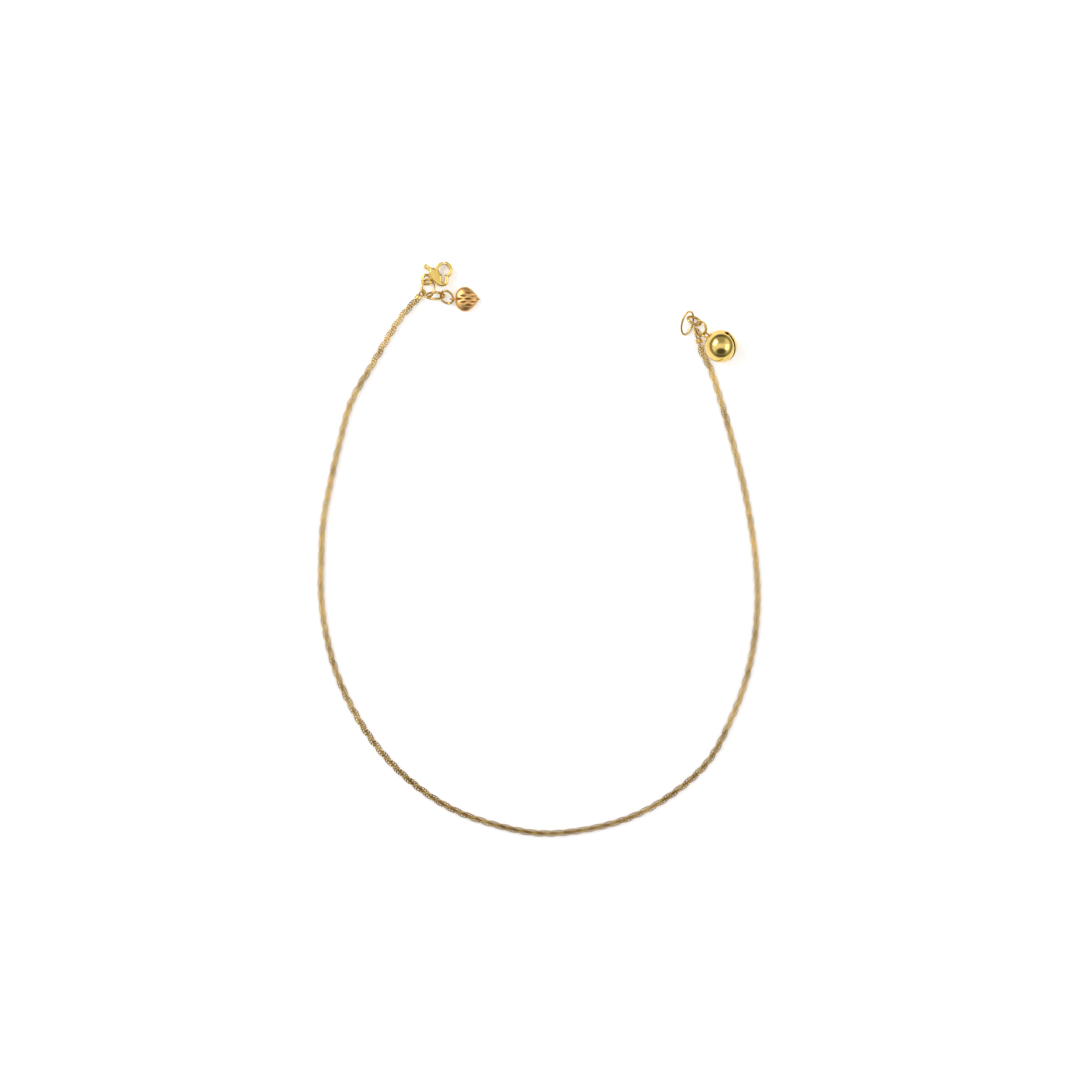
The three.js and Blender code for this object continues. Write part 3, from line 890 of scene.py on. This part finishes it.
def lever_slot():
    """The outline of the slot that the lever turns in, open at the claw and at the nub."""
    along, across = PIVOT
    space = LEVER_BOSS + CLEARANCE
    return [
        (along - space, across - SLOT_CORNER[1]),
        (along - SLOT_CORNER[0], across - space),
        (CLAW_CENTRE - CLAW_INNER + SLOT_PAST, -CLAW_INNER * SLOT_FOOT),
        (CLAW_CENTRE, BODY_BULGE + SLOT_MOUTH),
        (NUB[0] - SLOT_NUB_SPACE, BODY_BULGE + SLOT_MOUTH),
        (NUB[0] - SLOT_NUB_SPACE, BODY_BULGE - SLOT_MOUTH),
    ]


def clasp_rod(name, radius, length, edge, at):
    """A rounded rod through the clasp's plane at a place in it."""
    return mesh_of(name, moved(rounded_rod(radius, length, edge), x=at[0], y=at[1]))


def clasp_body():
    """The outline as a plate, with the lever's slot and swing cut out and the eye and pin joined to it."""
    swing = np.vstack([PIVOT, arc(PIVOT, LEVER_REACH + TIP_GAP, SWING_FROM, SWING_TO)])
    eye = ring(CLASP_EYE_RADIUS, CLASP_EYE_RADIUS, CLASP_EYE_WIRE, 64, 18)
    pin_length = CLASP_THICKNESS - 2 * PIN_INSET
    steps = [
        ("DIFFERENCE", plate("slot", lever_slot(), LEVER_THICKNESS + 2 * LEVER_SIDE)),
        ("DIFFERENCE", plate("tip_cut", swing, 2 * CLASP_THICKNESS)),
        ("UNION", mesh_of("eye", eye)),
        ("UNION", clasp_rod("pivot_pin", PIN_DIAMETER / 2, pin_length, PIN_EDGE, PIVOT)),
    ]
    return combined("clasp_body", plate("body", clasp_outline(), CLASP_THICKNESS, CLASP_EDGE), steps)


def clasp_lever():
    """A band of the claw's ring with a boss on the pin, a stem and a nub, and a hole for the pin."""
    centre = (CLAW_CENTRE, 0)
    pivot = np.array(PIVOT)
    nub = np.array(NUB)
    gate_start = CLAW_TIP - GATE_OVERLAP
    root = np.array([0, LEVER_BOSS * GATE_ROOT])
    outer = arc(centre, LEVER_OUTER, gate_start, GATE_OUTER_END)
    inner = arc(centre, LEVER_INNER, GATE_INNER_END, gate_start)
    gate = np.vstack([outer, pivot + root, pivot - root, inner])
    reach = np.vstack([pivot, arc(pivot, LEVER_REACH, REACH_FROM, REACH_TO, 60)])
    run = nub - pivot
    across = np.array([-run[1], run[0]]) / np.hypot(*run) * STEM_WIDTH / 2
    stem = [pivot - across, nub - across, nub + across, pivot + across]
    hole_radius = PIN_DIAMETER / 2 + PIN_CLEARANCE
    steps = [
        ("INTERSECT", plate("reach", reach, 2 * LEVER_THICKNESS)),
        ("UNION", clasp_rod("boss", LEVER_BOSS, LEVER_THICKNESS * BOSS_SHARE, BOSS_EDGE, PIVOT)),
        ("UNION", plate("stem", stem, LEVER_THICKNESS * STEM_SHARE, STEM_EDGE)),
        ("UNION", clasp_rod("nub", NUB_DIAMETER / 2, NUB_LENGTH, NUB_EDGE, NUB)),
        ("DIFFERENCE", clasp_rod("hole", hole_radius, 2 * LEVER_THICKNESS, CUTTER_EDGE, PIVOT)),
    ]
    return combined("clasp_lever", plate("gate", gate, LEVER_THICKNESS, LEVER_EDGE), steps)


def clasp_laid(mesh):
    """The mesh, made in the clasp's own plane, where the clasp lies."""
    at = (CLASP_EYE_PLACE[0] * MM, CLASP_EYE_PLACE[1] * MM, CLASP_THICKNESS / 2)
    return laid(mesh, about_z(math.radians(CLASP_TURN)), at)


piece("clasp_body_piece", clasp_laid(clasp_body()), polished, ["clasp_body"])
piece("clasp_lever_piece", clasp_laid(clasp_lever()), polished, ["clasp_lever"], "lever")

# Heart charm, with its tip along X


def heart_outline(t):
    """A circle drawn in at its tip and notched, from the notch, where t is 0, round a lobe to the tip."""
    swell = np.abs(np.sin(t))
    along = -0.5 * np.cos(t) - HEART_FULLNESS * (1 - np.cos(2 * t))
    across = np.sin(t) / 2 * swell ** (0.5 - 0.5 * np.cos(t))
    return np.stack([along * HEART_LENGTH + HEART_NOTCH_DEPTH * (1 - swell) ** 4, across * HEART_WIDTH], -1)


heart_notch = heart_outline(0.0)[0]
heart_middle = (heart_notch + heart_outline(math.pi)[0]) / 2


def cut_centres():
    """The middles of the diamond cuts: rows with every other one set over by half a pitch.

    They stay within a share of the outline's own distance from the middle.
    """
    edge = heart_outline(np.linspace(0, 2 * math.pi, 361)) - [heart_middle, 0]
    angles = np.arctan2(edge[:, 1], edge[:, 0])
    order = np.argsort(angles)
    reach = np.hypot(edge[:, 0], edge[:, 1])[order]
    rows = int(HEART_WIDTH / 2 / CUT_ROW_PITCH)
    columns = math.ceil(HEART_LENGTH / CUT_COLUMN_PITCH)
    row, column = np.meshgrid(np.arange(-rows, rows + 1), np.arange(-columns, columns + 1), indexing="ij")
    x = ((column + row % 2 / 2) * CUT_COLUMN_PITCH).ravel()
    y = (row * CUT_ROW_PITCH).ravel()
    limit = np.interp(np.arctan2(y, x), angles[order], reach)
    centres = np.stack([heart_middle + x, y], -1)
    return centres[np.hypot(x, y) <= CUT_FIELD * limit]


def heart_body(around=200, levels=44):
    """Rings of the outline that shrink to the middle as the dome rises by an arc, with the cuts pressed in.

    A cut is as deep as 1 less the square of the way along it and less the way across it. Also gives how
    deep each point is in a cut.
    """
    edge = heart_outline(full_turn(around))
    rise = np.linspace(-math.pi / 2, math.pi / 2, 2 * levels + 1)[1:-1]
    share = np.cos(rise)[:, None]
    x = heart_middle + (edge[:, 0] - heart_middle) * share
    y = edge[:, 1] * share
    height = HEART_THICKNESS / 2 * np.repeat(np.sin(rise)[:, None], around, 1)
    press = np.zeros_like(x)
    for centre_x, centre_y in cut_centres():
        off = ((x - centre_x) / (CUT_LENGTH / 2)) ** 2 + np.abs(y - centre_y) / (CUT_WIDTH / 2)
        press = np.maximum(press, 1 - off)
    height -= np.sign(height) * np.minimum(press * CUT_DEPTH, np.abs(height) * CUT_DEEPEST)
    top = HEART_THICKNESS / 2
    poles = [[heart_middle, 0, -top], [heart_middle, 0, top]]
    points = np.concatenate([np.stack([x, y, height], -1).reshape(-1, 3), poles])
    faces = [grid_faces(len(rise), around)[:, ::-1], fan_faces(len(rise), around)[:, [0, 2, 1]]]
    return (points, faces), np.concatenate([press.ravel(), [0, 0]])


heart_loop_at = heart_notch + HEART_LOOP_WIRE / 4 - HEART_LOOP_RADIUS
heart_solid, heart_press = heart_body()
heart_loop = ring(HEART_LOOP_RADIUS, HEART_LOOP_RADIUS, HEART_LOOP_WIRE, 48, 16)
heart_loop = moved(turned(heart_loop, about_x(math.pi / 2)), x=heart_loop_at)
heart_at = (HEART_LOOP_PLACE[0] * MM - heart_loop_at, HEART_LOOP_PLACE[1] * MM, HEART_THICKNESS / 2)
heart_mesh = mesh_of("heart_charm", placed(together(heart_solid, heart_loop), np.eye(3), heart_at))
# Painted shade in the diamond cuts, darker the deeper the cut; the loop gets none
heart_cut_shade = np.zeros(len(heart_mesh.vertices))
heart_cut_shade[: len(heart_press)] = np.clip(heart_press * CUT_SHADE, 0, 1)
add_shade_and_tarnish(heart_mesh, heart_cut_shade)
piece("heart_charm_piece", heart_mesh, rose, ["heart_charm"], crease=30)

# Jingle bell


def bell_mesh():
    """A ball with a loop on top, cut by a slit with a round hole at each end and by the hollow's ball."""
    shell = mesh_of("shell", ball(bell_radius, 128, 96))
    loop = turned(ring(BELL_LOOP_RADIUS, BELL_LOOP_RADIUS, BELL_LOOP_WIRE, 56, 18), about_x(math.pi / 2))
    half, far = BELL_SLIT / 2, BELL_SLIT_PAST * bell_radius
    slit = plate("slit", [(-half, -far), (half, -far), (half, far), (-half, far)], 2 * bell_radius)
    put_points(slit, points_of(slit) - [0, 0, bell_radius])
    slit_ends = turned(rounded_rod(BELL_SLIT_END / 2, 2 * far, CUTTER_EDGE), about_x(math.pi / 2))
    steps = [
        ("UNION", mesh_of("loop", moved(loop, z=loop_reach))),
        ("DIFFERENCE", slit),
        ("DIFFERENCE", mesh_of("ends", slit_ends)),
        ("DIFFERENCE", mesh_of("hollow", ball(bell_radius - BELL_WALL, 96, 64))),
    ]
    turn = about_z(loop_turn) @ about_y(loop_lean) @ about_z(math.radians(BELL_ROLL))
    return laid(combined("bell", shell, steps), turn, (*bell_place, bell_radius))


piece("bell_piece", bell_mesh(), polished, ["bell"], crease=35)
clapper = placed(ball(CLAPPER_DIAMETER / 2, 40, 24), np.eye(3), clapper_place)
piece("bell_clapper_piece", mesh_of("bell_clapper", clapper), link_metal, ["bell_clapper"])

# Studio


def floor():
    """A pale square floor with a faint glow of its own."""
    corners = FLOOR_REACH * np.array([[-1.0, -1, 0], [1, -1, 0], [1, 1, 0], [-1, 1, 0]])
    mesh = mesh_of("floor", (corners, [np.array([[0, 1, 2, 3]])]))
    material = bpy.data.materials.new("floor")
    tree = empty_tree(material)
    sockets = {
        "Base Color": FLOOR_COLOUR,
        "Roughness": FLOOR_ROUGHNESS,
        "Specular IOR Level": FLOOR_SPECULAR,
        "Emission Color": (1, 1, 1, 1),
        "Emission Strength": FLOOR_GLOW,
    }
    shader = tree.node("ShaderNodeBsdfPrincipled", {}, sockets)
    tree.node("ShaderNodeOutputMaterial", {}, {"Surface": shader})
    mesh.materials.append(material)
    object_of("floor", mesh)


def tent():
    """Light by direction: bright overhead, dimmer on two walls, round the foot and in an oval opening."""
    world = bpy.data.worlds.new("tent")
    bpy.context.scene.world = world
    tree = empty_tree(world)
    way = tree.node("ShaderNodeTexCoord", output="Generated")
    x, y, z = (tree.node("ShaderNodeSeparateXYZ", {}, {"Vector": way}, axis) for axis in "XYZ")
    off_centre = (x / OPENING_WIDTH) ** 2 + ((y + OPENING_NEARER) / OPENING_DEPTH) ** 2
    opening = tree.maths("SQRT", off_centre).ramp(OPENING_INSIDE, OPENING_OUTSIDE, OPENING_LIGHT, 1.0)
    past_x = abs(x).ramp(WALL_X_FROM, WALL_X_FULL)
    past_y = abs(y).ramp(WALL_Y_FROM, WALL_Y_FULL)
    walls = (past_y - past_x * past_y).ramp(0.0, 1.0, TOP_LIGHT, WALL_LIGHT)
    rim = z.ramp(RIM_LOW, RIM_HIGH, RIM_LIGHT, 1.0)
    seen = tree.node("ShaderNodeLightPath", output="Is Camera Ray")
    light = seen.mix(walls * rim * opening, BACKDROP)
    background = tree.node("ShaderNodeBackground", {}, {"Color": light, "Strength": 1.0})
    tree.node("ShaderNodeOutputWorld", {}, {"Surface": background})


def lamp(name, at, width, energy):
    """A soft oblong lamp that faces the origin."""
    light = bpy.data.lights.new(name, "AREA")
    light.shape = "RECTANGLE"
    light.size = width
    light.size_y = width * LAMP_SHAPE
    light.energy = energy
    made = object_of(name, light)
    made.location = at
    made.rotation_euler = (-Vector(at)).to_track_quat("-Z", "Y").to_euler()


floor()
tent()
lamp("key", (-0.45, 0.3, 0.5), 0.45, 1.6)
lamp("fill", (0.5, -0.05, 0.5), 0.4, 0.8)

camera = bpy.data.cameras.new("camera")
camera.sensor_width = CAMERA_SENSOR
camera.lens = CAMERA_SENSOR * CAMERA_HEIGHT / PICTURE_WIDTH
camera.clip_start = CAMERA_NEAR
camera_holder = object_of("camera", camera)
camera_holder.location = (PICTURE_AIM[0] + SHIFT[0], PICTURE_AIM[1] + SHIFT[1], CAMERA_HEIGHT)
bpy.context.scene.camera = camera_holder
bpy.context.scene.view_settings.view_transform = "Standard"
bpy.context.scene.view_settings.exposure = 0.0
